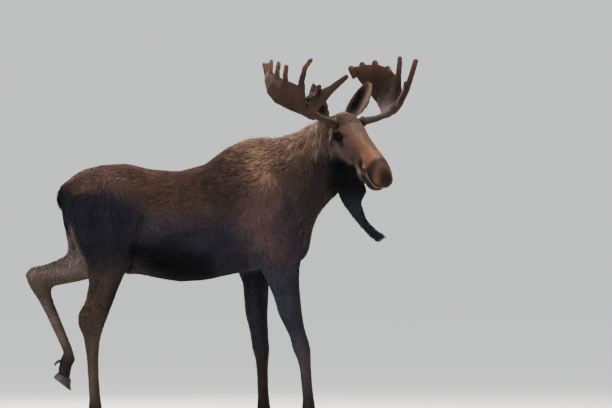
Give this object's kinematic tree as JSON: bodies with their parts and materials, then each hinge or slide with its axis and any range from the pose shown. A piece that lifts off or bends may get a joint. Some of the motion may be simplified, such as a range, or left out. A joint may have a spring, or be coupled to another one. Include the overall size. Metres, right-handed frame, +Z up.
{
  "type": "moose figure",
  "caption": "Life-size still figure of a bull moose in mid-step, one hind foot lifted, head turned to its right, with palmate antlers in velvet and a long bell under the throat.",
  "frame": {"origin": "middle of the animal's box, on the floor under its hooves", "axes": "+X from tail to chest, +Y to the animal's left, +Z up"},
  "size_m": [2.3726, 0.932, 2.2723],
  "materials": {
    "back_coat": "coarse reddish-brown hair, grizzled over the hump",
    "dark_coat": "long blue-black hair",
    "face_coat": "short reddish-brown hair",
    "leg_coat": "short grey-brown hair",
    "velvet": "short brown velvet",
    "eye": "wet dark brown",
    "horn": "smooth dark horn"
  },
  "bodies": {
    "root": {"antler_left_beam": "velvet", "antler_left_brow": "velvet", "antler_left_palm": "velvet", "antler_right_beam": "velvet", "antler_right_brow": "velvet", "antler_right_palm": "velvet", "bell": "dark_coat", "dewclaw_fore_left_inner": "horn", "dewclaw_fore_left_outer": "horn", "dewclaw_fore_right_inner": "horn", "dewclaw_fore_right_outer": "horn", "dewclaw_hind_left_inner": "horn", "dewclaw_hind_left_outer": "horn", "dewclaw_hind_right_inner": "horn", "dewclaw_hind_right_outer": "horn", "ear_left": "face_coat", "ear_right": "face_coat", "eye_left": "eye", "eye_right": "eye", "head": "face_coat", "hoof_fore_left_inner": "horn", "hoof_fore_left_outer": "horn", "hoof_fore_right_inner": "horn", "hoof_fore_right_outer": "horn", "hoof_hind_left_inner": "horn", "hoof_hind_left_outer": "horn", "hoof_hind_right_inner": "horn", "hoof_hind_right_outer": "horn", "leg_fore_left_lower": "leg_coat", "leg_fore_left_upper": "leg_coat", "leg_fore_right_lower": "leg_coat", "leg_fore_right_upper": "leg_coat", "leg_hind_left_lower": "leg_coat", "leg_hind_left_upper": "leg_coat", "leg_hind_right_lower": "leg_coat", "leg_hind_right_upper": "leg_coat", "neck": "back_coat", "tail": "dark_coat", "trunk": "back_coat"}
  },
  "joints": []
}
